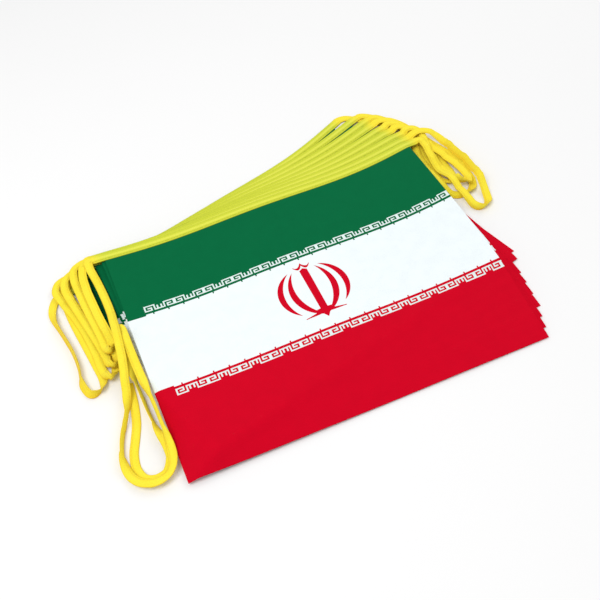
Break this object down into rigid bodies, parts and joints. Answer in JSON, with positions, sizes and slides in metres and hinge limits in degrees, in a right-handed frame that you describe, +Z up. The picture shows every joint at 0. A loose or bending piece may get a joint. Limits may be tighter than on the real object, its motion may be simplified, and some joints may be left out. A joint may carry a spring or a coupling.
{
  "type": "flag bunting",
  "caption": "Printed national flags sewn to one long folded tape, folded up in a fanned pile with loops and a free end of tape hanging out at the sides.",
  "frame": {"origin": "middle of the underside of the part's box, on the surface that the pile lies on", "axes": "+Z up from the surface; +X along the top flag's tape edge, from the side of the long free tape to the other; +Y from the top flag's hem to its tape"},
  "size_m": [0.377, 0.2916, 0.0188],
  "materials": {
    "flag_cloth": "matte printed polyester, in green, white and red bands",
    "tape_cloth": "matte yellow woven ribbon"
  },
  "bodies": {
    "root": {"flag_1": "flag_cloth", "flag_2": "flag_cloth", "flag_3": "flag_cloth", "flag_4": "flag_cloth", "flag_5": "flag_cloth", "flag_6": "flag_cloth", "flag_7": "flag_cloth", "flag_8": "flag_cloth", "flag_9": "flag_cloth", "tape": "tape_cloth"}
  },
  "joints": []
}
